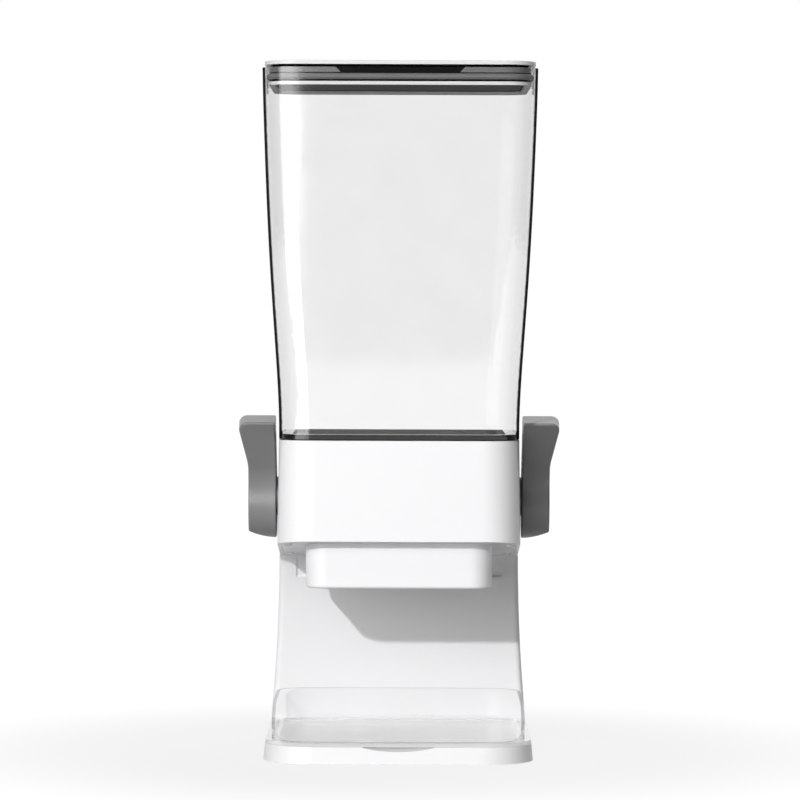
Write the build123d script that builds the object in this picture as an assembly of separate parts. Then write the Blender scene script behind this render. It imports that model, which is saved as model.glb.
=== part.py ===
from build123d import *
import math
import os

# Dry food dispenser: a clear tank on a white housing, held over a bowl by a C-shaped stand.
# Millimetres, +Z up. The origin is on the floor under the middle of the stand. -Y is the front.

# Foot of the stand
base_width = 178.0
base_depth = 188.0
base_draft = 1.0
base_corner_r = 32.0
base_rear_r = 12.0
deck_height = 11.8
stand_wall = 2.6

# Bottom plate, pads and screws
pad_stand_off = 0.8
pad_r = 8.0
pad_recess = 1.0
pad_inset = 26.0
plate_thickness = 2.4
plate_clearance = 0.2
boss_r = 4.2
screw_r = 1.4
screw_hole_clearance = 0.08
screw_head_r = 2.8
screw_head_height = 1.6
screw_length = 8.0

# Finger scoop in the front edge of the foot
scoop_half_width = 31.0
scoop_reach = 13.0
scoop_depth = 8.0
scoop_rise = 5.0

# Spine of the stand
spine_rise = 133.6
spine_depth = 18.0
spine_top_depth = 30.0
spine_lean = 16.5
spine_waist = 6.0
spine_front_r = 4.0
cover_half_width = 60.0
cover_thickness = 2.2
cover_clearance = 0.2
cover_ledge = 4.0
cover_margin = 8.0

# White housing round the paddle wheel
housing_front_setback = 15.0
housing_height = 66.1
housing_width = 161.0
housing_rear_flare = 1.5
housing_top_inset = 1.1
housing_depth = 139.0
housing_rear_slope = 19.6
housing_corner_r = 24.0
housing_rear_r = 13.0
housing_wall = 2.6
underside_drop = 17.5
housing_cut_margin = 8.0
shelf_thickness = 3.0
shelf_clearance = 0.15
housing_boss_height = 14.0
housing_boss_r = 5.6
housing_boss_overlap = 1.2
housing_boss_root = 1.0

# Spout
spout_side_room = 19.0
spout_depth = 91.0
spout_corner_r = 14.0
spout_bottom_r = 2.0
spout_drop = 32.0
spout_front_setback = 30.0
spout_wall = 2.5
spout_flange = 4.0
spout_flange_thickness = 1.5
spout_clearance = 0.2
spine_pocket_depth = 1.6
spine_pocket_overhang = 9.0

# Paddle wheel and its trough
wheel_setback = 86.0
wheel_below_rim = 39.5
wheel_r = 28.0
wheel_side_room = 20.5
wheel_end_gap = 1.0
trough_gap = 0.8
trough_wall = 2.0
trough_mouth_angle = 36.0
hub_r = 8.0
paddle_count = 6
paddle_thickness = 1.5
paddle_tip_thickness = 2.4
paddle_start_angle = 30.0
rib_height = 6.0
rib_thickness = 4.4
slot_floor = 1.0
slot_clearance = 0.05
axle_r = 4.0
axle_fit = 0.05
axle_hole_clearance = 1.0
hopper_flange_thickness = 3.0
hopper_edge = 4.0
funnel_wall = 2.0
hopper_clearance = 0.2
neck_gap = 0.3
neck_lap = 1.0
neck_front_r = 4.0
outlet_half_depth = 13.0
outlet_ledge = 1.0
throat_corner_r = 1.0

# Bushings in the side walls
bushing_r = 7.0
bushing_flange_r = 13.0
bushing_flange = 2.3
bushing_sink = 0.2
bushing_inner_reach = 4.0
bushing_clearance = 0.05

# Return spring
spring_strip = 0.8
spring_pitch = 2.0
spring_reach = 20.0
spring_turns = 3
spring_clearance = 0.3
spring_hub_r = 6.6
spring_arm_thickness = 3.0
spring_arm_reach = 14.0
spring_side_gap = 1.0

# Levers
lever_gap = 0.3
lever_thickness = 18.4
lever_hub_r = 22.0
lever_hub_drop = 8.0
lever_bar_depth = 26.0
lever_length = 68.2
lever_lean = 39.0
lever_top_slope = 8.0
lever_blend_r = 24.0
lever_flare_start = 22.0
lever_flare_angle = 13.0
lever_flare_r = 30.0
lever_top_corner_r = 5.5
lever_bottom_rise = 5.0
lever_bottom_bow = 0.8
lever_edge_r = 1.2
lever_inner_bevel = 0.6
drive_square = 5.6
drive_clearance = 0.1
drive_corner_r = 3.5
drive_length = 13.0
lever_screw_length = 9.0
lever_screw_end_gap = 1.0
cap_r = 6.0
cap_thickness = 1.6
cap_clearance = 0.1

# Clear tank
tank_height = 244.0
tank_seat = 0.8
tank_side_setback = 1.2
tank_side_flare = 11.5
tank_bottom_depth = 136.0
tank_front_flare = 2.0
tank_rear_flare = 10.0
tank_corner_r = 20.0
tank_wall = 2.4
tank_floor = 3.2
tank_spigot_wall = 2.0
tank_spigot_height = 3.0
tank_spigot_clearance = 0.4
seal_grip = 0.05

# Lid
lid_side_inset = 1.5
lid_end_inset = 0.7
lid_plate = 2.6
lid_gap = 1.8
lid_edge_r = 0.7
plug_depth_below_rim = 11.4
plug_gap = 2.0
plug_wall = 4.0
plug_floor = 2.0
plug_floor_above_rim = -8.7
plug_top_step = 1.8
plug_step_depth = 2.4
gasket_top = 4.0
gasket_height = 3.8
gasket_groove = 1.2
side_groove_depth = 2.2
side_groove_above = 0.8
side_groove_below = 1.4
gasket_clearance = 0.3
gasket_bevel = 1.2
notch_top_width = 88.0
notch_bottom_width = 78.0
notch_height = 5.2
notch_reach = 14.0

# Clear catch tray
tray_clearance = 0.1
tray_flange = 2.6
tray_edge_inset = 0.4
tray_rear_gap = 0.8
tray_wall = 2.2
tray_floor = 2.0
tray_cove_r = 5.0
tray_wall_height = 20.8
tray_guard_inset = 4.0
tray_guard_rear_inset = 0.5
tray_front_inset = 8.0
tray_guard_r = 28.0
tray_guard_rear_r = 22.0
tray_low_front = 22.0
tray_low_rise = 0.2
tray_full_height_at = 85.0
tray_swoop_margin = 0.1
tray_swoop_middle = (0.27, 0.6)

# Levels and places worked out from the sizes above
front_y = -base_depth / 2
rear_y = base_depth / 2
underside_front_z = deck_height + spine_rise
rim_z = underside_front_z + housing_height
housing_front_y = front_y + housing_front_setback
housing_rear_y = housing_front_y + housing_depth
underside_slope = underside_drop / (base_depth - housing_front_setback - 2 * spine_depth)
wheel_y = front_y + wheel_setback
wheel_z = rim_z - wheel_below_rim
trough_r = wheel_r + trough_gap
wheel_half_length = housing_width / 2 - wheel_side_room
trough_half_length = wheel_half_length + wheel_end_gap
spout_width = housing_width - 2 * spout_side_room
tank_bottom_width = housing_width - 2 * tank_side_setback
tank_top_width = tank_bottom_width + 2 * tank_side_flare
lid_rim_z = rim_z + tank_seat + tank_height
housing_low_z = underside_front_z - underside_drop - housing_cut_margin
reach = 2 * base_depth


def plan(half_front, half_rear, y_front, y_rear, r_front, r_rear, z):
    """Outline seen from above at height z, with rounded corners and a front and rear width."""
    corners = [(-half_front, y_front), (half_front, y_front), (half_rear, y_rear), (-half_rear, y_rear)]
    outline = Polygon(*corners, align=None)
    outline = fillet(outline.vertices().group_by(Axis.Y)[0], r_front)
    outline = fillet(outline.vertices().group_by(Axis.Y)[-1], r_rear)
    return Pos(0, 0, z) * outline


def block(x0, x1, y0, y1, z0, z1):
    """Box between two corners."""
    return Pos((x0 + x1) / 2, (y0 + y1) / 2, (z0 + z1) / 2) * Box(x1 - x0, y1 - y0, z1 - z0)


def side_prism(points, half_width):
    """Prism across the dispenser from an outline drawn in the side view, as (y, z) points."""
    return extrude(Plane.YZ * Polygon(*points, align=None), half_width, both=True)


def underside_z(y):
    """Height of the sloping underside of the housing at depth y."""
    return underside_front_z - underside_slope * (y - housing_front_y)


def sloped_slab(low, high):
    """Everything between two planes parallel to the underside, at these heights above it."""
    y0, y1 = -reach, reach
    z0, z1 = underside_z(y0), underside_z(y1)
    return side_prism([(y0, z0 + low), (y1, z1 + low), (y1, z1 + high), (y0, z0 + high)], reach)


def across(radius, x0, x1, y=None, z=None):
    """Round bar along X from x0 to x1, on the wheel's axis unless y and z say otherwise."""
    y = wheel_y if y is None else y
    z = wheel_z if z is None else z
    return Pos((x0 + x1) / 2, y, z) * Rot(0, 90, 0) * Cylinder(radius, x1 - x0)


def screw(length):
    """Pan-head screw standing on its head, with the head's underside at z = 0 and the shaft up."""
    head = Pos(0, 0, -screw_head_height / 2) * Cylinder(screw_head_r, screw_head_height)
    return head + Pos(0, 0, length / 2) * Cylinder(screw_r, length)


# Spine sections from the deck up: share of the rise, share of the narrowing, share of the lean,
# and share of the change in depth from foot to housing
spine_shape = [
    (-0.07, 0.0, 0.0, 0.0),
    (0.18, 0.28, 0.05, 0.0),
    (0.43, 0.66, 0.28, 0.04),
    (0.64, 0.86, 0.58, 0.20),
    (0.80, 0.97, 0.85, 0.55),
    (0.92, 1.0, 1.09, 1.0),
]


def spine_section(rise, narrowing, lean, deepening, inset=0.0):
    """One plan section of the spine, drawn in by inset on every side."""
    half = base_width / 2 - base_draft - narrowing * spine_waist - inset
    y_rear = rear_y - lean * spine_lean - inset
    depth = spine_depth + deepening * (spine_top_depth - spine_depth)
    y_front = rear_y - lean * spine_lean - depth + inset
    z = deck_height + rise * spine_rise
    return plan(half, half, y_front, y_rear, spine_front_r - inset, base_rear_r - inset, z)


def housing_outline(z, inset=0.0):
    """Outer outline of the housing at height z, drawn in by inset on every side."""
    share = (z - housing_low_z) / (rim_z - housing_low_z)
    half_front = housing_width / 2 - share * housing_top_inset - inset
    half_rear = half_front + (1 - share) * housing_rear_flare
    y_rear = housing_rear_y + (1 - share) * housing_rear_slope - inset
    r_front = housing_corner_r - inset
    return plan(half_front, half_rear, housing_front_y + inset, y_rear, r_front, housing_rear_r - inset, z)


def housing_body(inset, z_low, z_high):
    """Solid of the housing's outer form between two heights, drawn in by inset."""
    return loft([housing_outline(z_low, inset), housing_outline(z_high, inset)])


def foot_outline(z, inset=0.0):
    """Outline of the foot at height z, drawn in by inset."""
    draft = base_draft * (z - pad_stand_off) / (deck_height - pad_stand_off)
    half = base_width / 2 - draft - inset
    r_rear = base_rear_r - inset
    return plan(half, half, front_y + draft + inset, rear_y - inset, base_corner_r - inset, r_rear, z)


def pad_places():
    """Centres of the four rubber pads."""
    x = base_width / 2 - pad_inset
    return [(sx * x, sy * (base_depth / 2 - pad_inset)) for sx in (-1, 1) for sy in (-1, 1)]


def base_screw_places():
    """Centres of the four screws that hold the bottom plate."""
    x = base_width / 2 - 2 * pad_inset
    return [(sx * x, sy * (base_depth / 2 - pad_inset)) for sx in (-1, 1) for sy in (-1, 1)]


def housing_screw_places():
    """Centres of the four screws that hold the housing on the shelf."""
    x = housing_width / 2 - housing_wall - housing_boss_r + housing_boss_overlap
    y_front = housing_front_y + housing_corner_r + housing_boss_r
    y_rear = wheel_y + trough_r + 2 * housing_boss_r
    return [(sx * x, y) for sx in (-1, 1) for y in (y_front, y_rear)]


def cover_band(depth, half_width, margin):
    """Skin of the spine's back, of a given depth, between two heights."""
    form = loft([spine_section(*row) for row in spine_shape])
    z_low = deck_height + margin
    z_high = deck_height + spine_shape[-1][0] * spine_rise - cover_margin - margin
    window = block(-half_width, half_width, 0, reach, z_low, z_high)
    return (form & window) - Pos(0, -depth, 0) * form


def stand_shell():
    """C-shaped moulding: hollow foot, hollow spine and the shelf under the housing."""
    foot = loft([foot_outline(pad_stand_off), foot_outline(deck_height)])
    spine = loft([spine_section(*row) for row in spine_shape])
    top = deck_height + spine_shape[-1][0] * spine_rise
    cut_z = deck_height - stand_wall
    pocket = loft([foot_outline(pad_stand_off, stand_wall), foot_outline(cut_z, stand_wall)])
    hollow = loft([spine_section(*row, inset=stand_wall) for row in spine_shape])
    z_low = deck_height + 2 * cover_ledge
    z_high = top - cover_margin - 2 * cover_ledge
    half = cover_half_width - cover_ledge
    window = block(-half, half, 0, reach, z_low, z_high)
    deeper = spine_pocket_depth
    hollow = (Pos(0, deeper, 0) * hollow & window) + (Pos(0, deeper + stand_wall, 0) * hollow & window)
    body = foot + spine - pocket - sloped_slab(0, reach)
    body -= hollow
    body -= cover_band(cover_thickness, cover_half_width, cover_ledge)
    shelf_body = housing_body(housing_wall + shelf_clearance, housing_low_z, rim_z)
    body += shelf_body & sloped_slab(0, shelf_thickness)
    body -= spout_hole()
    body -= spine_pocket()
    for x, y in base_screw_places():
        body += Pos(x, y, 0) * Pos(0, 0, boss_mid_z()) * Cylinder(boss_r, boss_height())
        body -= Pos(x, y, boss_mid_z()) * Cylinder(screw_r + screw_hole_clearance, boss_height() + 2)
    for x, y in housing_screw_places():
        body -= Pos(x, y, underside_z(y)) * Cylinder(screw_r + screw_hole_clearance, 4 * shelf_thickness)
        body -= Pos(x, y, underside_z(y)) * Cylinder(screw_head_r + plate_clearance, screw_head_height)
    body += scoop_form(stand_wall) & loft([foot_outline(pad_stand_off), foot_outline(deck_height)])
    return body - scoop_form(0)


def boss_height():
    """Length of a screw boss under the deck."""
    return deck_height - stand_wall - pad_stand_off - plate_thickness


def boss_mid_z():
    """Middle height of a screw boss under the deck."""
    return pad_stand_off + plate_thickness + boss_height() / 2


def scoop_form(grow):
    """Rounded hollow for a finger under the front lip of the tray, grown outwards by grow."""
    axes = (scoop_half_width + grow, scoop_reach + grow, scoop_depth + grow)
    bowl = scale(Sphere(1), by=axes)
    bowl = Pos(0, front_y + base_draft, deck_height + scoop_rise) * bowl
    return bowl & block(-reach, reach, -reach, 0, 0, deck_height)


def spout_outline(grow, z):
    """Outline of the spout at height z, grown outwards by grow."""
    half = spout_width / 2 + grow
    y0 = front_y + spout_front_setback - grow
    y1 = front_y + spout_front_setback + spout_depth + grow
    r = spout_corner_r + grow
    return plan(half, half, y0, y1, r, r, z)


def spout_bottom_z():
    """Height of the open end of the spout."""
    return underside_front_z - spout_drop


def spout_hole():
    """Hole in the shelf for the spout."""
    outline = spout_outline(spout_clearance, spout_bottom_z())
    return extrude(outline, spout_drop + spout_flange_thickness + shelf_thickness)


def spine_pocket():
    """Shallow recess in the front of the spine behind the spout."""
    half = spout_width / 2 + spine_pocket_overhang
    form = loft([spine_section(*row) for row in spine_shape])
    back = Pos(0, spine_pocket_depth, 0) * form
    window = block(-half, half, 0, rear_y - spine_lean - spine_depth, spout_bottom_z(), underside_front_z)
    return (form - back) & window & sloped_slab(-reach, 0)


def stand_back_cover():
    """Curved panel that closes the back of the spine."""
    return cover_band(cover_thickness, cover_half_width - cover_clearance, cover_ledge + cover_clearance)


def base_plate():
    """Flat plate that closes the foot from below, recessed for the pads and screw heads."""
    inset = stand_wall + plate_clearance
    low, high = pad_stand_off, pad_stand_off + plate_thickness
    plate = loft([foot_outline(low, inset), foot_outline(high, inset)])
    side, rear = scoop_half_width + inset, front_y + base_draft + scoop_reach + inset
    plate -= block(-side, side, -reach, rear, 0, deck_height)
    for x, y in pad_places():
        plate -= Pos(x, y, low + pad_recess / 2) * Cylinder(pad_r + plate_clearance, pad_recess)
    for x, y in base_screw_places():
        plate -= Pos(x, y, low) * Cylinder(screw_head_r + plate_clearance, 2 * screw_head_height)
        plate -= Pos(x, y, low) * Cylinder(screw_r + screw_hole_clearance, 4 * plate_thickness)
    return plate


def feet():
    """Four rubber pads the dispenser stands on."""
    height = pad_stand_off + pad_recess
    pad = Pos(0, 0, height / 2) * Cylinder(pad_r, height)
    pad = chamfer(pad.edges().group_by(Axis.Z)[0], pad_stand_off / 2)
    return Compound(children=[Pos(x, y, 0) * pad for x, y in pad_places()])


def base_screws():
    """Four screws from below through the bottom plate into the foot's bosses."""
    z = pad_stand_off + screw_head_height
    length = deck_height - stand_wall - z
    return Compound(children=[Pos(x, y, z) * screw(length) for x, y in base_screw_places()])


def housing_shell():
    """White sleeve round the paddle wheel, open at the top and at the bottom."""
    outer = housing_body(0, housing_low_z, rim_z)
    shell = outer - housing_body(housing_wall, housing_low_z, rim_z)
    for x, y in housing_screw_places():
        z0 = underside_z(y) + shelf_thickness
        boss_z = z0 + housing_boss_height / 2 - housing_boss_root
        boss = Pos(x, y, boss_z) * Cylinder(housing_boss_r, housing_boss_height)
        shell += boss & outer
        shell -= Pos(x, y, z0) * Cylinder(screw_r + screw_hole_clearance, 2 * screw_length)
    shell -= sloped_slab(-reach, 0)
    slot = housing_body(housing_wall, housing_low_z, rim_z) & sloped_slab(0, shelf_thickness)
    shell -= slot
    seat = bushing_seat_x()
    for x0, x1 in ((-reach, -seat), (seat, reach)):
        shell -= across(bushing_flange_r + bushing_clearance, x0, x1)
    return shell - across(bushing_r + bushing_clearance, -reach, reach)


def bushing_seat_x():
    """Distance from the middle to the flat the bushing's flange lies on."""
    return housing_width / 2 - housing_top_inset / 2 - bushing_sink


def housing_screws():
    """Four screws from below through the shelf into the housing."""
    lift = screw_head_height / 2
    places = housing_screw_places()
    return Compound(children=[Pos(x, y, underside_z(y) + lift) * screw(screw_length) for x, y in places])


def hopper_mouth(inset, z):
    """Opening of the hopper at the top of the housing, drawn in by inset."""
    return housing_outline(z, housing_wall + hopper_edge + inset)


def hopper_throat(grow, z):
    """Opening of the hopper just above the paddle wheel, grown outwards by grow."""
    half = trough_half_length + grow
    reach_y = trough_r * math.cos(math.radians(trough_mouth_angle)) + grow
    r = throat_corner_r + grow
    return plan(half, half, wheel_y - reach_y, wheel_y + reach_y, r, r, z)


def neck_outline(grow, z):
    """Outline of the neck that leads from the trough into the spout, grown outwards by grow."""
    side = spout_wall + neck_gap - grow
    half = spout_width / 2 - side
    y0 = wheel_y - outlet_half_depth - outlet_ledge - trough_wall - grow
    y1 = front_y + spout_front_setback + spout_depth - side
    return plan(half, half, y0, y1, neck_front_r + grow, spout_corner_r - side, z)


def hopper():
    """Funnel and trough in one: it leads the food from the tank onto the paddle wheel."""
    throat_z = wheel_z + trough_r * math.sin(math.radians(trough_mouth_angle))
    flange_z = rim_z - hopper_flange_thickness
    flange_low = housing_outline(flange_z, housing_wall + hopper_clearance)
    flange_high = housing_outline(rim_z, housing_wall + hopper_clearance)
    low_flange_z = flange_z - funnel_wall
    low_throat = hopper_throat(trough_wall, throat_z - trough_wall - funnel_wall)
    outer = loft([low_throat, hopper_mouth(-funnel_wall, low_flange_z)])
    outer += extrude(hopper_mouth(-funnel_wall, low_flange_z), funnel_wall)
    outer += loft([flange_low, flange_high])
    end = trough_half_length + trough_wall
    neck_z = spout_bottom_z()
    neck = extrude(neck_outline(0, neck_z), wheel_z - neck_z)
    neck -= extrude(neck_outline(-trough_wall, neck_z), wheel_z - neck_z)
    outer += neck & sloped_slab(shelf_thickness - neck_lap, reach)
    outer += across(trough_r + trough_wall, -end, end)
    inner = loft([hopper_throat(0, throat_z - trough_wall), hopper_mouth(0, flange_z)])
    inner += extrude(hopper_mouth(0, flange_z), hopper_flange_thickness)
    inner += across(trough_r, -trough_half_length, trough_half_length)
    outlet = outlet_half_depth
    half = spout_width / 2 - spout_wall - neck_gap - trough_wall - outlet_ledge
    inner += block(-half, half, wheel_y - outlet, wheel_y + outlet, neck_z - 1, wheel_z)
    return outer - inner - across(axle_r + axle_hole_clearance, -reach, reach)


def spout():
    """Rounded chute under the housing, hung in the shelf by its flange and closed in front of the neck."""
    low = spout_bottom_z()
    body = extrude(spout_outline(0, low), spout_drop + shelf_thickness + spout_flange_thickness)
    body = fillet(body.faces().sort_by(Axis.Z)[0].edges(), spout_bottom_r)
    top = shelf_thickness + spout_flange_thickness
    body &= sloped_slab(-reach, top)
    rim = extrude(spout_outline(spout_flange, low), 2 * spout_drop) & sloped_slab(shelf_thickness, top)
    passage = extrude(spout_outline(-spout_wall, low - 1), 2 * spout_drop)
    passage &= sloped_slab(-reach, shelf_thickness)
    return body + rim - passage - extrude(neck_outline(neck_gap, low - 1), 2 * spout_drop)


def bushing(side):
    """Flanged bushing in a side wall of the housing."""
    seat = bushing_seat_x()
    inner = housing_width / 2 - housing_wall - bushing_inner_reach
    body = across(bushing_r, inner, seat) + across(bushing_flange_r, seat, seat + bushing_flange)
    body -= across(axle_r + axle_fit, 0, reach)
    return body if side > 0 else mirror(body, Plane.YZ)


def lever_inner_x():
    """Distance from the middle to the inner face of a lever."""
    return bushing_seat_x() + bushing_flange + lever_gap


def lever_outline():
    """Side outline of a lever in its own frame: x backwards, y along the handle, axle at the origin."""
    bar_back = lever_hub_r
    bar_front = bar_back - lever_bar_depth
    hub_y = -lever_hub_drop
    top_back = lever_length - lever_bar_depth * math.tan(math.radians(lever_lean - lever_top_slope))
    blend_x = bar_front - lever_blend_r
    blend_rise = math.sqrt((lever_hub_r + lever_blend_r) ** 2 - blend_x**2)
    blend_y = hub_y + blend_rise
    share = lever_hub_r / (lever_hub_r + lever_blend_r)
    hub_point = (blend_x * share, hub_y + blend_rise * share)
    blend_end = (bar_front, blend_y)
    turn = math.atan2(-blend_rise, -blend_x) / 2
    blend_mid = (blend_x + lever_blend_r * math.cos(turn), blend_y + lever_blend_r * math.sin(turn))
    outline = Curve() + [
        ThreePointArc((bar_back, hub_y), (0, hub_y - lever_hub_r), (-lever_hub_r, hub_y)),
        ThreePointArc((-lever_hub_r, hub_y), hub_side_point(blend_x, blend_rise), hub_point),
        ThreePointArc(hub_point, blend_mid, blend_end),
        Polyline(blend_end, (bar_front, lever_length), (bar_back, top_back), (bar_back, hub_y)),
    ]
    return make_face(outline)


def hub_side_point(blend_x, blend_rise):
    """Point on the hub halfway from its front, level with its centre, up to the blend."""
    angle = (math.pi + math.atan2(blend_rise, blend_x)) / 2
    return (lever_hub_r * math.cos(angle), lever_hub_r * math.sin(angle) - lever_hub_drop)


def lever_front_profile():
    """Front outline of the right lever as (x, z) points: bowed foot, upright side and flared tip."""
    x0 = lever_inner_x()
    x1 = x0 + lever_thickness
    low = wheel_z - lever_hub_r - lever_hub_drop * math.cos(math.radians(lever_lean))
    high = wheel_z + lever_length + lever_hub_r
    bend = wheel_z + lever_flare_start
    tip_x = x1 + (high - bend) * math.tan(math.radians(lever_flare_angle))
    side = Polyline((x1, low + lever_bottom_rise), (x1, bend), (tip_x, high), (x0 - 1, high), (x0 - 1, low))
    foot_mid = ((x0 + x1) / 2, low + lever_bottom_rise / 2 - lever_bottom_bow)
    foot = ThreePointArc((x0 - 1, low), foot_mid, (x1, low + lever_bottom_rise))
    outline = make_face(Curve() + [side, foot])
    corner = outline.vertices().sort_by_distance((x1, bend))[0]
    return fillet(corner, lever_flare_r)


def lever_solid():
    """Solid of the right lever with its rounded edges, without its holes."""
    place = Plane(origin=(lever_inner_x(), wheel_y, wheel_z), x_dir=lever_backward(), z_dir=(1, 0, 0))
    bar = place * extrude(lever_outline(), lever_length)
    form = Rot(90, 0, 0) * extrude(lever_front_profile(), reach, both=True)
    body = bar & form
    x0 = lever_inner_x()
    tip = body.edges().filter_by(lambda e: e.center().X > x0 + lever_thickness).sort_by(Axis.Z)[-1]
    body = fillet(tip, lever_top_corner_r)
    outer_edges = body.edges().filter_by(lambda e: e.bounding_box().min.X > x0 + lever_thickness / 2)
    body = fillet(outer_edges, lever_edge_r)
    inner_edges = body.edges().filter_by(lambda e: e.bounding_box().max.X < x0 + 0.01)
    return chamfer(inner_edges, lever_inner_bevel)


def lever(side):
    """Hand lever beside the housing, with its square drive hole, screw hole and cap seat."""
    body = lever_solid()
    x0 = lever_inner_x()
    outer = x0 + lever_thickness
    square = drive_square + drive_clearance
    drive_end = x0 + drive_length
    body -= Pos(0, wheel_y, wheel_z) * block(0, drive_end, -square / 2, square / 2, -square / 2, square / 2)
    body -= across(cap_r, drive_end + screw_head_height, reach)
    body -= across(screw_head_r + plate_clearance, drive_end, reach)
    body -= across(cap_r + cap_clearance, outer - cap_thickness, reach)
    return body if side > 0 else mirror(body, Plane.YZ)


def lever_backward():
    """Direction that is backwards for the leaning handle."""
    lean = math.radians(lever_lean)
    return (0, math.cos(lean), math.sin(lean))


def axle():
    """Steel rod through the wheel, squared at both ends to drive it from the levers."""
    half = lever_inner_x() - lever_gap
    end = lever_inner_x() + drive_length
    rod = across(axle_r, -half, half)
    square = Pos(0, wheel_y, wheel_z) * Box(2 * end, drive_square, drive_square)
    thread = screw_r + screw_hole_clearance
    rod += square & across(drive_corner_r, -end, end)
    for x0, x1 in ((-end, -end + lever_screw_length), (end - lever_screw_length, end)):
        rod -= across(thread, x0, x1)
    return rod


def lever_screws():
    """Two screws that hold the levers on the axle's ends."""
    end = lever_inner_x() + drive_length
    right = Pos(end, wheel_y, wheel_z) * Rot(0, -90, 0) * screw(lever_screw_length - lever_screw_end_gap)
    return Compound(children=[right, mirror(right, Plane.YZ)])


def lever_caps():
    """Two flush caps over the lever screws."""
    outer = lever_inner_x() + lever_thickness
    cap = across(cap_r, outer - cap_thickness, outer)
    return Compound(children=[cap, mirror(cap, Plane.YZ)])


def wheel_section(sketch, half_length):
    """Turns a sketch drawn round the wheel's axis into a bar across the dispenser."""
    section = Plane(origin=(0, wheel_y, wheel_z), x_dir=(0, 1, 0), z_dir=(1, 0, 0)) * sketch
    return extrude(section, half_length, both=True)


def paddle_angles():
    """Angles of the paddles round the axis."""
    return [paddle_start_angle + i * 360 / paddle_count for i in range(paddle_count)]


def rotor_core():
    """Hub of the paddle wheel with a slotted rib for each paddle."""
    section = Circle(hub_r)
    length = rib_height + hub_r
    for angle in paddle_angles():
        section += Rot(0, 0, angle) * Pos(length / 2, 0) * Rectangle(length, rib_thickness)
    slot = paddle_thickness + 2 * slot_clearance
    for angle in paddle_angles():
        section -= Rot(0, 0, angle) * Pos(hub_r + slot_floor + length / 2, 0) * Rectangle(length, slot)
    section -= Circle(axle_r)
    return wheel_section(section, wheel_half_length)


def rotor_paddles():
    """Six flexible paddles, each seated in its slot in the hub."""
    root = hub_r + slot_floor + slot_clearance
    span = wheel_r - root
    blade = Pos(root + span / 2, 0) * Rectangle(span, paddle_thickness)
    tip = Pos(wheel_r - paddle_thickness / 2, 0) * Rectangle(paddle_thickness, paddle_tip_thickness)
    blades = []
    for angle in paddle_angles():
        outline = (blade + tip) & Circle(wheel_r)
        blades.append(wheel_section(Rot(0, 0, angle) * outline, wheel_half_length))
    return Compound(children=blades)


def spring_space():
    """Distances from the middle to the inner and outer end of the spring's hub."""
    inner = trough_half_length + trough_wall + spring_side_gap
    outer = housing_width / 2 - housing_wall - bushing_inner_reach - spring_side_gap / 2
    return inner, outer


def spring_arm():
    """Hub and arm on the axle that the return spring pushes against."""
    inner, outer = spring_space()
    hub = across(spring_hub_r, -outer, -inner)
    arm_x = -inner - spring_arm_thickness
    arm = block(arm_x, -inner, -spring_hub_r / 2, spring_hub_r / 2, 0, spring_arm_reach)
    body = hub + Pos(0, wheel_y, wheel_z) * arm
    return body - across(axle_r, -reach, reach)


def return_spring():
    """Flat spiral spring that brings the levers back, wound round the hub of its arm."""
    inner, outer = spring_space()
    radius = spring_hub_r + spring_clearance + spring_strip / 2
    start = radius
    strip = Sketch()
    for half_turn in range(2 * spring_turns):
        side = 1 if half_turn % 2 == 0 else -1
        centre = start - side * radius
        ring = Circle(radius + spring_strip / 2) - Circle(radius - spring_strip / 2)
        half = Pos(0, side * spring_reach / 2) * Rectangle(2 * spring_reach, spring_reach)
        strip += Pos(centre, 0) * ring & half
        start -= 2 * side * radius
        radius += spring_pitch / 2
    low = -outer + spring_side_gap / 2
    high = -inner - spring_arm_thickness - spring_side_gap / 2
    place = Plane(origin=(low, wheel_y, wheel_z), x_dir=(0, 1, 0), z_dir=(1, 0, 0))
    return extrude(place * strip, high - low)


# Tank sections from the bottom up: share of the height and share of the flare
tank_shape = [(0.0, 0.0), (0.2, 0.16), (0.43, 0.5), (0.65, 0.75), (0.87, 0.93), (1.0, 1.0)]


def tank_outline(share, flare, inset=0.0):
    """Outline of the tank at a share of its height, drawn in by inset."""
    half = tank_bottom_width / 2 + flare * (tank_top_width - tank_bottom_width) / 2 - inset
    y0 = tank_front_y() - flare * tank_front_flare + inset
    y1 = tank_front_y() + tank_bottom_depth + flare * tank_rear_flare - inset
    r = tank_corner_r - inset
    return plan(half, half, y0, y1, r, r, rim_z + tank_seat + share * tank_height)


def tank_front_y():
    """Front of the tank at its bottom edge."""
    return housing_front_y + (housing_depth - tank_bottom_depth) / 2


def tank_mouth(inset, z):
    """Outline of the opening in the tank's floor, drawn in by inset."""
    return hopper_mouth(inset, rim_z).moved(Location((0, 0, z - rim_z)))


def container():
    """Clear tapered tank, open at the top, with a short spigot round its outlet."""
    outer = loft([tank_outline(*row) for row in tank_shape])
    inner = loft([tank_outline(*row, inset=tank_wall) for row in tank_shape])
    low = rim_z + tank_seat
    inner -= block(-reach, reach, -reach, reach, 0, low + tank_floor)
    spigot = extrude(tank_mouth(tank_spigot_clearance, low - tank_spigot_height), tank_spigot_height)
    hole_inset = tank_spigot_clearance + tank_spigot_wall
    hole = extrude(tank_mouth(hole_inset, low - 2 * tank_spigot_height), 4 * tank_spigot_height)
    return outer - inner + spigot - hole


def container_seal():
    """Flat silicone ring under the tank, round its spigot."""
    ring = extrude(tank_outline(0, 0, inset=tank_wall), -tank_seat)
    return ring - extrude(tank_mouth(tank_spigot_clearance - seal_grip, rim_z - tank_seat), 3 * tank_seat)


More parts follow.
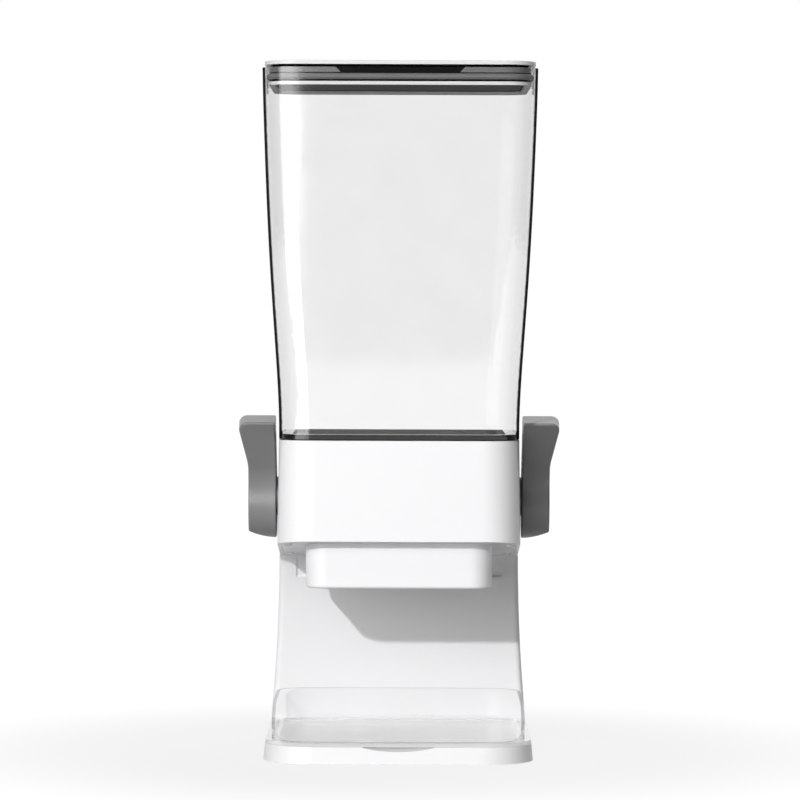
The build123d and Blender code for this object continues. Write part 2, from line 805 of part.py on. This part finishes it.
def lid_outline(inset, z):
    """Outline of the lid's top plate, drawn in by inset."""
    half = tank_top_width / 2 - lid_side_inset - inset
    y0 = tank_front_y() - tank_front_flare + lid_end_inset + inset
    y1 = tank_front_y() + tank_bottom_depth + tank_rear_flare - lid_end_inset - inset
    r = tank_corner_r - inset
    return plan(half, half, y0, y1, r, r, z)


def lid_top():
    """Flat top plate of the lid."""
    plate = extrude(lid_outline(0, lid_rim_z + lid_gap), lid_plate)
    return fillet(plate.edges().group_by(Axis.Z)[-1], lid_edge_r)


def plug_outline(inset, z):
    """Outline of the lid's plug, drawn in by inset from its outer face."""
    return tank_outline(1.0, 1.0, tank_wall + plug_gap + inset).moved(Location((0, 0, z - lid_rim_z)))


def finger_notch():
    """Slanted recess under the front of the lid, which gives the fingers a hold."""
    z1 = lid_rim_z + lid_gap
    z0 = z1 - notch_height
    top, low = notch_top_width / 2, notch_bottom_width / 2
    outline = Plane.XZ * Polygon((-top, z1), (top, z1), (low, z0), (-low, z0), align=None)
    return Pos(0, housing_front_y, 0) * extrude(outline, notch_reach, both=True)


def groove(depth, low, height):
    """Ring that cuts a groove of this depth into the plug's outer face."""
    return extrude(plug_outline(-1, low), height) - extrude(plug_outline(depth, low), height)


def lid_plug():
    """Hollow plug that fits down into the tank, closed below, with a lip and grooves round it."""
    z1 = lid_rim_z + lid_gap
    z0 = lid_rim_z - plug_depth_below_rim
    floor_z = lid_rim_z + plug_floor_above_rim
    plug = extrude(plug_outline(0, z0), z1 - z0)
    inner = extrude(plug_outline(plug_wall, z0), z1 - z0)
    inner -= extrude(plug_outline(plug_wall, floor_z), plug_floor)
    half, y_back = notch_top_width / 2 + plug_wall, housing_front_y + notch_reach + plug_wall
    inner -= block(-half, half, -reach, y_back, z1 - notch_height - plug_wall, z1)
    groove_z = lid_rim_z - gasket_top - gasket_height
    plug -= groove(gasket_groove, groove_z, gasket_height)
    plug -= groove(side_groove_depth, groove_z + gasket_height, side_groove_above)
    plug -= groove(side_groove_depth, groove_z - side_groove_below, side_groove_below)
    plug -= groove(plug_step_depth, z1 - plug_top_step, plug_top_step)
    return plug - inner - finger_notch()


def lid_gasket():
    """Silicone ring in the plug's groove, with a rounded lip that touches the tank."""
    low = lid_rim_z - gasket_top - gasket_height
    lip = gasket_clearance - plug_gap
    ring = extrude(plug_outline(lip, low), gasket_height)
    ends = ring.faces().sort_by(Axis.Z)
    ring = chamfer(ends[0].edges() + ends[-1].edges(), gasket_bevel)
    return ring - extrude(plug_outline(gasket_groove, low - 1), gasket_height + 2)


def tray():
    """Clear catch tray that slides out forwards, with a guard wall that swoops down to the front."""
    low = deck_height + tray_clearance
    top = low + tray_flange
    rim = top + tray_wall_height
    half = base_width / 2 - base_draft - tray_edge_inset
    y0 = front_y + base_draft + tray_edge_inset
    y1 = rear_y - spine_depth - tray_rear_gap - spine_shape[1][2] * spine_lean
    plate = extrude(plan(half, half, y0, y1, base_corner_r - base_draft, spine_front_r, low), tray_flange)
    g_half = half - tray_guard_inset
    g0, g1 = front_y + tray_front_inset, y1 - tray_guard_rear_inset
    guard = extrude(plan(g_half, g_half, g0, g1, tray_guard_r, tray_guard_rear_r, low), rim - low)
    wall = tray_wall
    r_front, r_rear = tray_guard_r - wall, tray_guard_rear_r - wall
    inner_plan = plan(g_half - wall, g_half - wall, g0 + wall, g1 - wall, r_front, r_rear, low + tray_floor)
    basin = extrude(inner_plan, rim)
    basin = fillet(basin.faces().sort_by(Axis.Z)[0].edges(), tray_cove_r)
    a = (front_y + tray_low_front, top + tray_low_rise)
    b = (front_y + tray_full_height_at, rim + tray_swoop_margin)
    along, up = tray_swoop_middle
    mid = (a[0] + along * (b[0] - a[0]), a[1] + up * (b[1] - a[1]))
    curve = Curve() + [
        Spline(a, mid, b, tangents=[(1, 0.1), (1, 0)]),
        Polyline(b, (b[0], 2 * rim), (y0 - wall, 2 * rim), (y0 - wall, a[1]), a),
    ]
    swoop = extrude(Plane.YZ * make_face(curve), reach, both=True)
    return plate + guard - basin - swoop


def all_parts():
    """Every piece of the dispenser by name."""
    return {
        "stand_shell": stand_shell(),
        "stand_back_cover": stand_back_cover(),
        "base_plate": base_plate(),
        "feet": feet(),
        "base_screws": base_screws(),
        "housing_shell": housing_shell(),
        "housing_screws": housing_screws(),
        "hopper": hopper(),
        "spout": spout(),
        "bushing_left": bushing(-1),
        "bushing_right": bushing(1),
        "return_spring": return_spring(),
        "axle": axle(),
        "rotor_core": rotor_core(),
        "rotor_paddles": rotor_paddles(),
        "spring_arm": spring_arm(),
        "lever_left": lever(-1),
        "lever_right": lever(1),
        "lever_screws": lever_screws(),
        "lever_caps": lever_caps(),
        "container": container(),
        "container_seal": container_seal(),
        "lid_top": lid_top(),
        "lid_plug": lid_plug(),
        "lid_gasket": lid_gasket(),
        "tray": tray(),
    }


os.makedirs("parts", exist_ok=True)
for name, shape in all_parts().items():
    export_step(shape, f"parts/{name}.step")
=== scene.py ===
import math

import bpy
from mathutils import Euler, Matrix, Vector

# Dry food dispenser: the finish of every piece, the studio and the camera.
# Metres, +Z up, -Y is the front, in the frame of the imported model.

# Camera, solved from the photograph's horizon and perspective
IMAGE_PX = 800
FOCAL_PX = 4147.0
SENSOR_MM = 36.0
CAMERA_PLACE = (0.00024, -2.794, 0.3038)
CAMERA_TILT = math.radians(1.38)
CAMERA_ROLL = math.radians(-0.19)
CAMERA_REACH = 50.0

# Suns: directions of their light, and the apparent width that both have
OBJECT_MIDDLE = Vector((0.0, 0.0, 0.24))
SUN_DISTANCE = 3.0
SUN_ANGLE = math.radians(1.2)
KEY_DIRECTION = (0.295, 1.0, -0.347)
KEY_STRENGTH = 1.49
LEVER_KEY_DIRECTION = (0.80, 1.0, -1.35)
LEVER_KEY_STRENGTH = 2.4

# Area lamps: powers in watts
SOFTBOX_PLACE = (-1.93, -2.70, 0.98)
SOFTBOX_SIZE = (3.6, 1.95)
SOFTBOX_POWER = 69.0
TOP_PLACE = (0.0, -1.3, 2.3)
TOP_SIZE = (1.5, 1.5)
TOP_POWER = 10.0
REAR_PLACE = (1.2, 2.7, 1.7)
REAR_SIZE = (2.0, 2.0)
REAR_POWER = 66.0

# World: its light on the object, and how the room in gloss dims in front and at the sides
WORLD_FILL = 0.055
GLOSS_FRONT = 0.10
GLOSS_FRONT_FROM = -0.35
GLOSS_FRONT_TO = 0.45
GLOSS_SIDE = 0.30
GLOSS_SIDE_FROM = 0.45
GLOSS_SIDE_TO = 0.9

# Floor: its glow and bounced light, and the object's shadow, which fades between two distances
FLOOR_SIZE = 14.0
FLOOR_SHOWN = 1.03
FLOOR_BOUNCE = 0.40
SHADOW_SHARE = 0.17
SHADOW_NEAR = 0.16
SHADOW_FAR = 0.42

# Moulded plastic: noises are counted per metre, and the gloss varies by a share of the roughness
CLOUD_SCALE = 14.0
GLOSS_SCALE = 60.0
GLOSS_SPREAD = 0.06
NOISE_FROM = 0.1
NOISE_TO = 0.9
GRAIN_SCALE = 900.0
GRAIN_STRENGTH = 0.25
PLASTIC_IOR = 1.49
SPECULAR = 0.5

# Steel: fine lines, drawn out along X
STEEL_LINES = 160.0
STEEL_STRETCH = (0.06, 3.0, 3.0)
STEEL_DARK = 0.50
STEEL_LIGHT = 0.66
STEEL_SMOOTHEST = 0.24
STEEL_ROUGHEST = 0.42
STEEL_GRAIN = 0.00003

# Clear plastic: share of light that it mirrors head-on, and how that rises towards a grazing view
MIRROR_HEAD_ON = 0.055
MIRROR_RISE = 0.9
MIRROR_POWER = 5.0

# Share of the mirror kept on the rear half of the clear pieces, and where that half begins
REAR_MIRROR = 0.15
REAR_FROM = -0.03
REAR_TO = 0.02

# Upright walls, by the height of their normal, and rounded corners, by how diagonal it lies
UPRIGHT_FULL = 0.25
UPRIGHT_NONE = 0.6
CORNER_FULL = 0.06

# Cut rim of a clear wall: how far its normal looks up, and the share of shade in it
RIM_SLOPE_FROM = 0.2
RIM_SLOPE_TO = 0.5
RIM_SHADE = 0.30

# Shade in clear plastic, its faint scratches, and the views between which it shows more of its tint
SHADE_TONE = 0.008
SHADE_ROUGHNESS = 0.5
SCRATCH_SCALE = 35.0
SCRATCH_FROM = 0.3
SCRATCH_TO = 0.7
SCRATCH_DIM = 0.01
POLISH_SMOOTHEST = 0.02
POLISH_ROUGHEST = 0.05
ASIDE_FROM = 0.05
ASIDE_TO = 0.5

# Tops of the thick bottoms of tank and tray, and the height above which the tray's rim is shaded
TANK_BOTTOM_TOP = 0.2152
TRAY_BOTTOM_TOP = 0.0145
TRAY_RIM_FROM = 0.0200

# A height above the whole object, for the tank, whose rim has no shade
ABOVE_ALL = 0.50

# Lid plug: heights, the finger notch, its own grey and white tones, and the tones of painted shade
# in its groove, step and notch and on its faces that look down
LID_LIP_TOP = 0.4471
LID_GROOVE_TOP = 0.4529
LID_STEP_LOW = 0.4563
LID_NOTCH_HALF = 0.0442
LID_NOTCH_FRONT = -0.0746
LID_NOTCH_BACK = -0.0600
LID_CLOUD_SCALE = 20.0
LID_BAND = 0.19
LID_BAND_MOTTLE = 0.02
# Painted near-black shade of the groove, step and finger notch
LID_PAINTED_SHADE = 0.002
LID_LIP = 0.93
# Painted shade on the faces of the plug that look down
LID_UNDERSIDE_SHADE = 0.23
LID_SMOOTHEST = 0.30
LID_ROUGHEST = 0.38
LID_GRAIN = 0.00003
LOOKS_DOWN = -0.5

# Colour sockets of the Mix node
MIX_A = 6
MIX_B = 7
MIX_RESULT = 2

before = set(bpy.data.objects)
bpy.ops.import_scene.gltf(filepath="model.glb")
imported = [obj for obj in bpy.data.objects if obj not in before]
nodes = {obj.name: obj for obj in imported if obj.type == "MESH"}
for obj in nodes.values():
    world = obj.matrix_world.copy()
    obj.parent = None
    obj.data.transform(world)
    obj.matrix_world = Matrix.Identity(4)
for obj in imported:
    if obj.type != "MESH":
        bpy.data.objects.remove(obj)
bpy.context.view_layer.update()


# Material building


class Graph:
    """Short ways to add and join the nodes of one material or world."""

    def __init__(self, tree):
        self.tree = tree
        tree.nodes.clear()

    def node(self, kind, **values):
        made = self.tree.nodes.new(kind)
        for name, value in values.items():
            setattr(made, name, value)
        return made

    def join(self, source, target):
        self.tree.links.new(source, target)

    def feed(self, socket, value):
        """Joins a socket to another, or sets its plain value."""
        if isinstance(value, bpy.types.NodeSocket):
            self.join(value, socket)
        else:
            socket.default_value = value

    def math(self, operation, *values):
        made = self.node("ShaderNodeMath", operation=operation)
        for socket, value in zip(made.inputs, values):
            self.feed(socket, value)
        return made.outputs[0]

    def product(self, first, *others):
        for other in others:
            first = self.math("MULTIPLY", first, other)
        return first

    def largest(self, first, *others):
        for other in others:
            first = self.math("MAXIMUM", first, other)
        return first

    def rest(self, share):
        """What a share leaves of one."""
        return self.math("SUBTRACT", 1.0, share)

    def ramp(self, value, low, high, to_low=0.0, to_high=1.0, smooth=False):
        """Value mapped from low..high to to_low..to_high, held at both ends."""
        made = self.node("ShaderNodeMapRange", clamp=True)
        if smooth:
            made.interpolation_type = "SMOOTHSTEP"
        for socket, number in zip(made.inputs, (value, low, high, to_low, to_high)):
            self.feed(socket, number)
        return made.outputs[0]

    def mix_colour(self, share, a, b):
        made = self.node("ShaderNodeMix", data_type="RGBA")
        self.feed(made.inputs["Factor"], share)
        self.feed(made.inputs[MIX_A], a)
        self.feed(made.inputs[MIX_B], b)
        return made.outputs[MIX_RESULT]

    def mix_shader(self, share, a, b):
        """Two shaders blended, from a to b as the share grows."""
        made = self.node("ShaderNodeMixShader")
        self.feed(made.inputs[0], share)
        self.join(a.outputs[0], made.inputs[1])
        self.join(b.outputs[0], made.inputs[2])
        return made

    def place(self, stretch=(1.0, 1.0, 1.0)):
        """The piece's own coordinates, in metres, stretched along its axes."""
        coordinates = self.node("ShaderNodeTexCoord").outputs["Object"]
        mapping = self.node("ShaderNodeMapping")
        mapping.inputs["Scale"].default_value = stretch
        self.join(coordinates, mapping.inputs["Vector"])
        return mapping.outputs[0]

    def split(self, vector):
        """The three parts of a vector."""
        made = self.node("ShaderNodeSeparateXYZ")
        self.join(vector, made.inputs[0])
        return made.outputs

    def normal(self):
        """The three parts of the surface's normal."""
        return self.split(self.node("ShaderNodeNewGeometry").outputs["Normal"])

    def noise(self, scale, detail=2.0, roughness=0.5, where=None):
        made = self.node("ShaderNodeTexNoise")
        made.inputs["Scale"].default_value = scale
        made.inputs["Detail"].default_value = detail
        made.inputs["Roughness"].default_value = roughness
        self.join(where or self.place(), made.inputs["Vector"])
        return made.outputs["Fac"]

    def bump(self, height, strength, distance):
        made = self.node("ShaderNodeBump")
        made.inputs["Strength"].default_value = strength
        made.inputs["Distance"].default_value = distance
        self.join(height, made.inputs["Height"])
        return made.outputs[0]

    def principled(self, **values):
        made = self.node("ShaderNodeBsdfPrincipled")
        for name, value in values.items():
            self.feed(made.inputs[name.replace("_", " ")], value)
        return made


def material(name):
    made = bpy.data.materials.new(name)
    made.use_nodes = True
    return made, Graph(made.node_tree)


def finish_surface(g, shader):
    out = g.node("ShaderNodeOutputMaterial")
    g.join(shader.outputs[0], out.inputs["Surface"])


def grey(level):
    return (level, level, level, 1.0)


def tint(colour, share=1.0):
    """A colour's three parts scaled by the share, and full opacity."""
    return (*(part * share for part in colour), 1.0)


def moulded(name, colour, roughness, mottle=0.03, grain=0.00004, grain_scale=GRAIN_SCALE):
    """Moulded plastic: faint clouds in colour and gloss, and the fine grain of the mould."""
    made, g = material(name)
    clouds = g.noise(CLOUD_SCALE, detail=3.0)
    fine = g.noise(grain_scale, roughness=0.6)
    cloudy = g.ramp(clouds, NOISE_FROM, NOISE_TO)
    base = g.mix_colour(cloudy, tint(colour, 1.0 - mottle), tint(colour))
    smoothest = roughness * (1.0 - GLOSS_SPREAD)
    roughest = roughness * (1.0 + GLOSS_SPREAD)
    gloss = g.ramp(g.noise(GLOSS_SCALE), NOISE_FROM, NOISE_TO, smoothest, roughest)
    bump = g.bump(fine, GRAIN_STRENGTH, grain)
    shader = g.principled(Base_Color=base, Roughness=gloss, Normal=bump)
    shader.inputs["IOR"].default_value = PLASTIC_IOR
    finish_surface(g, shader)
    return made


def brushed_steel(name):
    """Turned or drawn steel with fine lines along X."""
    made, g = material(name)
    lines = g.noise(STEEL_LINES, detail=3.0, where=g.place(STEEL_STRETCH))
    base = g.mix_colour(lines, grey(STEEL_DARK), grey(STEEL_LIGHT))
    gloss = g.ramp(lines, low=0.2, high=0.8, to_low=STEEL_SMOOTHEST, to_high=STEEL_ROUGHEST)
    bump = g.bump(lines, strength=0.2, distance=STEEL_GRAIN)
    shader = g.principled(Base_Color=base, Roughness=gloss, Normal=bump)
    shader.inputs["Metallic"].default_value = 1.0
    finish_surface(g, shader)
    return made


def outer_skin(g):
    """1 on the outer skin of a hollow piece that faces the viewer, else 0."""
    geometry = g.node("ShaderNodeNewGeometry").outputs
    level = g.node("ShaderNodeVectorMath", operation="MULTIPLY")
    g.join(g.place(), level.inputs[0])
    level.inputs[1].default_value = (1.0, 1.0, 0.0)
    outwards = g.node("ShaderNodeVectorMath", operation="DOT_PRODUCT")
    g.join(level.outputs[0], outwards.inputs[0])
    g.join(geometry["Normal"], outwards.inputs[1])
    facing_out = g.math("GREATER_THAN", outwards.outputs["Value"], 0.0)
    return g.largest(g.math("SUBTRACT", facing_out, geometry["Backfacing"]), 0.0)


def mirror_share(g, facing, upright, shaded):
    """Share of light mirrored by clear plastic: less on its rear walls, none in its shade."""
    rise = g.product(g.math("POWER", facing, MIRROR_POWER), MIRROR_RISE)
    share = g.math("ADD", rise, MIRROR_HEAD_ON)
    depth = g.split(g.place())[1]
    rear = g.ramp(depth, REAR_FROM, REAR_TO, 0.0, 1.0 - REAR_MIRROR)
    return g.product(share, g.rest(g.product(upright, rear)), g.rest(shaded))


def clear_plastic(name, clear, clear_aside, edge_from, edge_to, edge_shade,
                  bottom_top, bottom_fade, bottom_share, bottom_tone, rim_from):
    """Clear polished plastic in thin walls.

    Its rounded corners darken where they are seen edge-on, as a bent ray in them meets no light.
    The thick bottom blends towards bottom_tone, and the cut rim above rim_from takes a little
    painted shade.
    """
    made, g = material(name)
    facing = g.node("ShaderNodeLayerWeight").outputs["Facing"]
    across, depth, up = g.normal()
    height = g.split(g.place())[2]
    upright = g.ramp(g.math("ABSOLUTE", up), UPRIGHT_FULL, UPRIGHT_NONE, 1.0, 0.0)
    corner = g.ramp(g.math("ABSOLUTE", g.product(across, depth)), 0.0, CORNER_FULL)
    edge = g.ramp(facing, edge_from, edge_to, 0.0, edge_shade, smooth=True)
    edge = g.product(edge, upright, corner)
    above = g.math("GREATER_THAN", height, rim_from)
    rim = g.product(above, g.ramp(up, RIM_SLOPE_FROM, RIM_SLOPE_TO))
    bottom = g.ramp(height, bottom_top - bottom_fade, bottom_top, 1.0, 0.0, smooth=True)
    scratches = g.noise(SCRATCH_SCALE, detail=5.0, roughness=0.7)

    unscratched = g.ramp(scratches, SCRATCH_FROM, SCRATCH_TO)
    head_on = g.mix_colour(unscratched, grey(clear - SCRATCH_DIM), grey(clear))
    aside = g.ramp(facing, ASIDE_FROM, ASIDE_TO)
    seen_through = g.mix_colour(aside, head_on, grey(clear * clear_aside))
    pale = g.node("ShaderNodeBsdfTransparent")
    g.join(seen_through, pale.inputs["Color"])

    shade_colour = g.mix_colour(bottom, grey(SHADE_TONE), grey(bottom_tone))
    shade = g.principled(Base_Color=shade_colour, Roughness=SHADE_ROUGHNESS)
    shade.inputs["Specular IOR Level"].default_value = 0.0

    polish = g.node("ShaderNodeBsdfGlossy")
    polish.inputs["Color"].default_value = grey(1.0)
    gloss = g.ramp(scratches, SCRATCH_FROM, SCRATCH_TO, POLISH_SMOOTHEST, POLISH_ROUGHEST)
    g.join(gloss, polish.inputs["Roughness"])

    # Painted shade on corners seen edge-on and on the cut rim, and the blend of the thick bottom
    on_edge = g.product(edge, outer_skin(g))
    on_rim = g.product(rim, RIM_SHADE)
    on_bottom = g.product(bottom, bottom_share)
    body = g.mix_shader(g.largest(on_edge, on_rim, on_bottom), pale, shade)
    mirrored = mirror_share(g, facing, upright, shaded=g.largest(edge, rim))
    finish_surface(g, g.mix_shader(mirrored, body, polish))
    return made


def lid_plastic(name):
    """Grey moulded plug with a white lip; painted shade makes its groove, step and finger notch
    near-black and its downward faces dimmer.
    """
    made, g = material(name)
    across, depth, height = g.split(g.place())
    up = g.normal()[2]
    in_groove = g.math("LESS_THAN", height, LID_GROOVE_TOP)
    in_step = g.math("GREATER_THAN", height, LID_STEP_LOW)
    in_notch = g.product(
        g.math("LESS_THAN", g.math("ABSOLUTE", across), LID_NOTCH_HALF),
        g.math("GREATER_THAN", depth, LID_NOTCH_FRONT),
        g.math("LESS_THAN", depth, LID_NOTCH_BACK),
    )
    in_lip = g.math("LESS_THAN", height, LID_LIP_TOP)
    above_lip = g.math("GREATER_THAN", height, LID_LIP_TOP)
    # Painted shade on the faces that look down, above the lip
    underside_shade = g.product(g.math("LESS_THAN", up, LOOKS_DOWN), above_lip)
    # Painted near-black shade in the groove, step and finger notch
    painted_shade = g.largest(in_groove, in_step, in_notch)

    clouds = g.noise(LID_CLOUD_SCALE, detail=3.0)
    cloudy = g.ramp(clouds, low=0.2, high=0.8)
    colour = g.mix_colour(cloudy, grey(LID_BAND - LID_BAND_MOTTLE), grey(LID_BAND))
    # Painted near-black shade, the lip's own white, then painted shade on the downward faces
    for share, level in ((painted_shade, LID_PAINTED_SHADE), (in_lip, LID_LIP), (underside_shade, LID_UNDERSIDE_SHADE)):
        colour = g.mix_colour(share, colour, grey(level))

    patches = g.noise(GLOSS_SCALE, detail=4.0)
    gloss = g.ramp(patches, low=0.25, high=0.75, to_low=LID_SMOOTHEST, to_high=LID_ROUGHEST)
    bump = g.bump(g.noise(GRAIN_SCALE), GRAIN_STRENGTH, LID_GRAIN)
    shader = g.principled(Base_Color=colour, Roughness=gloss, Normal=bump)
    # No gloss where shade is painted
    lost = g.product(g.largest(underside_shade, painted_shade), -SPECULAR)
    g.join(g.math("ADD", lost, SPECULAR), shader.inputs["Specular IOR Level"])
    finish_surface(g, shader)
    return made


# Finishes of the pieces


def dress(names, made):
    """Gives CAD nodes one material in all their slots."""
    for name in names:
        slots = nodes[name].data.materials
        slots.clear()
        slots.append(made)


white = moulded("gloss_white", (0.90, 0.898, 0.91), 0.30, mottle=0.012, grain=0.00002)
stand_white = moulded("stand_white", (0.888, 0.886, 0.897), 0.32, mottle=0.012, grain=0.00002)
lid_white = moulded("lid_white", (0.73, 0.73, 0.735), 0.30, mottle=0.012)
inner_white = moulded("satin_white", (0.84, 0.84, 0.845), 0.5)
lever_grey = moulded("satin_grey", (0.20, 0.20, 0.20), 0.34, mottle=0.05)
silicone = moulded(
    "grey_silicone", (0.20, 0.20, 0.205), 0.6, mottle=0.05, grain=0.00006, grain_scale=600.0
)
seal = moulded("dark_seal", (0.022, 0.022, 0.022), 0.6, mottle=0.05)
rubber = moulded(
    "pad_rubber", (0.045, 0.045, 0.047), 0.75, mottle=0.1, grain=0.0001, grain_scale=500.0
)
steel = brushed_steel("drawn_steel")
tank_clear = clear_plastic(
    "tank_clear",
    clear=0.985,
    clear_aside=0.94,
    edge_from=0.50,
    edge_to=0.62,
    edge_shade=0.99,
    bottom_top=TANK_BOTTOM_TOP,
    bottom_fade=0.0006,
    bottom_share=0.985,
    bottom_tone=0.010,
    rim_from=ABOVE_ALL,
)
tray_clear = clear_plastic(
    "tray_clear",
    clear=0.995,
    clear_aside=0.985,
    edge_from=0.60,
    edge_to=0.90,
    edge_shade=0.55,
    bottom_top=TRAY_BOTTOM_TOP,
    bottom_fade=0.0002,
    bottom_share=0.50,
    bottom_tone=0.95,
    rim_from=TRAY_RIM_FROM,
)
lid_grey = lid_plastic("lid_grey")

dress(["housing_shell", "housing_screws", "spout"], white)
dress(["stand_shell", "stand_back_cover", "base_plate"], stand_white)
dress(["lid_top"], lid_white)
dress(["hopper", "rotor_core", "spring_arm"], inner_white)
dress(["lever_left", "lever_right", "lever_caps", "bushing_left", "bushing_right"], lever_grey)
dress(["rotor_paddles", "lid_gasket"], silicone)
dress(["container_seal"], seal)
dress(["feet"], rubber)
dress(["base_screws", "lever_screws", "return_spring", "axle"], steel)
dress(["container"], tank_clear)
dress(["tray"], tray_clear)
dress(["lid_plug"], lid_grey)

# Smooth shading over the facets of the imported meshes
for piece in nodes.values():
    piece.data.shade_smooth()


# Studio


def lamp(name, kind, place, target, **values):
    """A lamp that shines from its place at a target and isn't seen by the camera."""
    data = bpy.data.lights.new(name, kind)
    for key, value in values.items():
        setattr(data, key, value)
    made = bpy.data.objects.new(name, data)
    bpy.context.scene.collection.objects.link(made)
    made.location = place
    made.rotation_mode = "QUATERNION"
    made.rotation_quaternion = (Vector(target) - Vector(place)).to_track_quat("-Z", "Y")
    made.visible_camera = False
    return made


def sun(name, direction, strength):
    place = OBJECT_MIDDLE - Vector(direction).normalized() * SUN_DISTANCE
    return lamp(name, "SUN", place, OBJECT_MIDDLE, energy=strength, angle=SUN_ANGLE)


def area_lamp(name, place, target, size, power, in_gloss=True):
    made = lamp(name, "AREA", place, target, shape="RECTANGLE", energy=power)
    made.data.size, made.data.size_y = size
    made.visible_glossy = in_gloss


def light_only(light, group, pieces):
    """Lets a lamp light the given pieces alone."""
    lit = bpy.data.collections.new(group)
    for piece in pieces:
        lit.objects.link(piece)
    light.light_linking.receiver_collection = lit


def studio_lamps():
    """A sun and a softbox from the front left, and weaker fills from above and behind.

    The right lever has a steeper sun of its own, as the photograph shows it in deeper shade.
    """
    key = sun("key", KEY_DIRECTION, KEY_STRENGTH)
    lever_key = sun("lever_key", LEVER_KEY_DIRECTION, LEVER_KEY_STRENGTH)
    others = [piece for name, piece in nodes.items() if name != "lever_right"]
    light_only(lever_key, "right_lever_only", [nodes["lever_right"]])
    light_only(key, "all_but_right_lever", others)
    ahead = (SOFTBOX_PLACE[0], 0.0, SOFTBOX_PLACE[2])
    area_lamp("softbox", SOFTBOX_PLACE, ahead, SOFTBOX_SIZE, SOFTBOX_POWER)
    area_lamp("top_fill", TOP_PLACE, OBJECT_MIDDLE, TOP_SIZE, TOP_POWER, in_gloss=False)
    area_lamp("rear_fill", REAR_PLACE, OBJECT_MIDDLE, REAR_SIZE, REAR_POWER, in_gloss=False)


def seen_directly(g, path):
    """1 for rays from the camera and through glass, else 0."""
    return g.largest(path["Is Camera Ray"], path["Is Transmission Ray"])


def studio_world():
    """White background, seen also through glass and, with a dimmer front and sides, in gloss."""
    world = bpy.data.worlds.new("studio")
    bpy.context.scene.world = world
    world.use_nodes = True
    g = Graph(world.node_tree)
    path = g.node("ShaderNodeLightPath").outputs
    across, depth, _ = g.split(g.node("ShaderNodeTexCoord").outputs["Generated"])
    front = g.ramp(depth, GLOSS_FRONT_FROM, GLOSS_FRONT_TO, GLOSS_FRONT, 1.0, smooth=True)
    aside = g.math("ABSOLUTE", across)
    side = g.ramp(aside, GLOSS_SIDE_FROM, GLOSS_SIDE_TO, 1.0, GLOSS_SIDE, smooth=True)
    in_gloss = g.product(front, side, path["Is Glossy Ray"])
    background = g.node("ShaderNodeBackground")
    background.inputs["Color"].default_value = grey(1.0)
    strength = g.largest(in_gloss, seen_directly(g, path), WORLD_FILL)
    g.join(strength, background.inputs["Strength"])
    out = g.node("ShaderNodeOutputWorld")
    g.join(background.outputs[0], out.inputs["Surface"])


def floor():
    """Plain pale floor that shows a shadow near the object and runs into the white background."""
    half = FLOOR_SIZE / 2
    mesh = bpy.data.meshes.new("floor")
    corners = [(-half, -half, 0), (half, -half, 0), (half, half, 0), (-half, half, 0)]
    mesh.from_pydata(corners, [], [(0, 1, 2, 3)])
    made = bpy.data.objects.new("floor", mesh)
    bpy.context.scene.collection.objects.link(made)
    surface, g = material("floor_white")
    matte = g.node("ShaderNodeBsdfDiffuse")
    matte.inputs["Color"].default_value = grey(FLOOR_BOUNCE)
    shown = g.node("ShaderNodeEmission")
    shown.inputs["Color"].default_value = grey(1.0)
    shown.inputs["Strength"].default_value = FLOOR_SHOWN
    far = g.node("ShaderNodeVectorMath", operation="LENGTH")
    g.join(g.place(), far.inputs[0])
    in_shadow = 1.0 - SHADOW_SHARE
    glow = g.ramp(far.outputs["Value"], SHADOW_NEAR, SHADOW_FAR, in_shadow, 1.0, smooth=True)
    path = g.node("ShaderNodeLightPath").outputs
    seen = g.largest(seen_directly(g, path), path["Is Glossy Ray"])
    finish_surface(g, g.mix_shader(g.product(glow, seen), matte, shown))
    mesh.materials.append(surface)


def camera():
    data = bpy.data.cameras.new("camera")
    data.sensor_width = SENSOR_MM
    data.lens = FOCAL_PX / IMAGE_PX * SENSOR_MM
    data.clip_end = CAMERA_REACH
    made = bpy.data.objects.new("camera", data)
    bpy.context.scene.collection.objects.link(made)
    made.location = CAMERA_PLACE
    made.rotation_euler = Euler((math.pi / 2 - CAMERA_TILT, CAMERA_ROLL, 0.0))
    bpy.context.scene.camera = made


studio_lamps()
studio_world()
floor()
camera()
bpy.context.scene.view_settings.view_transform = "Standard"
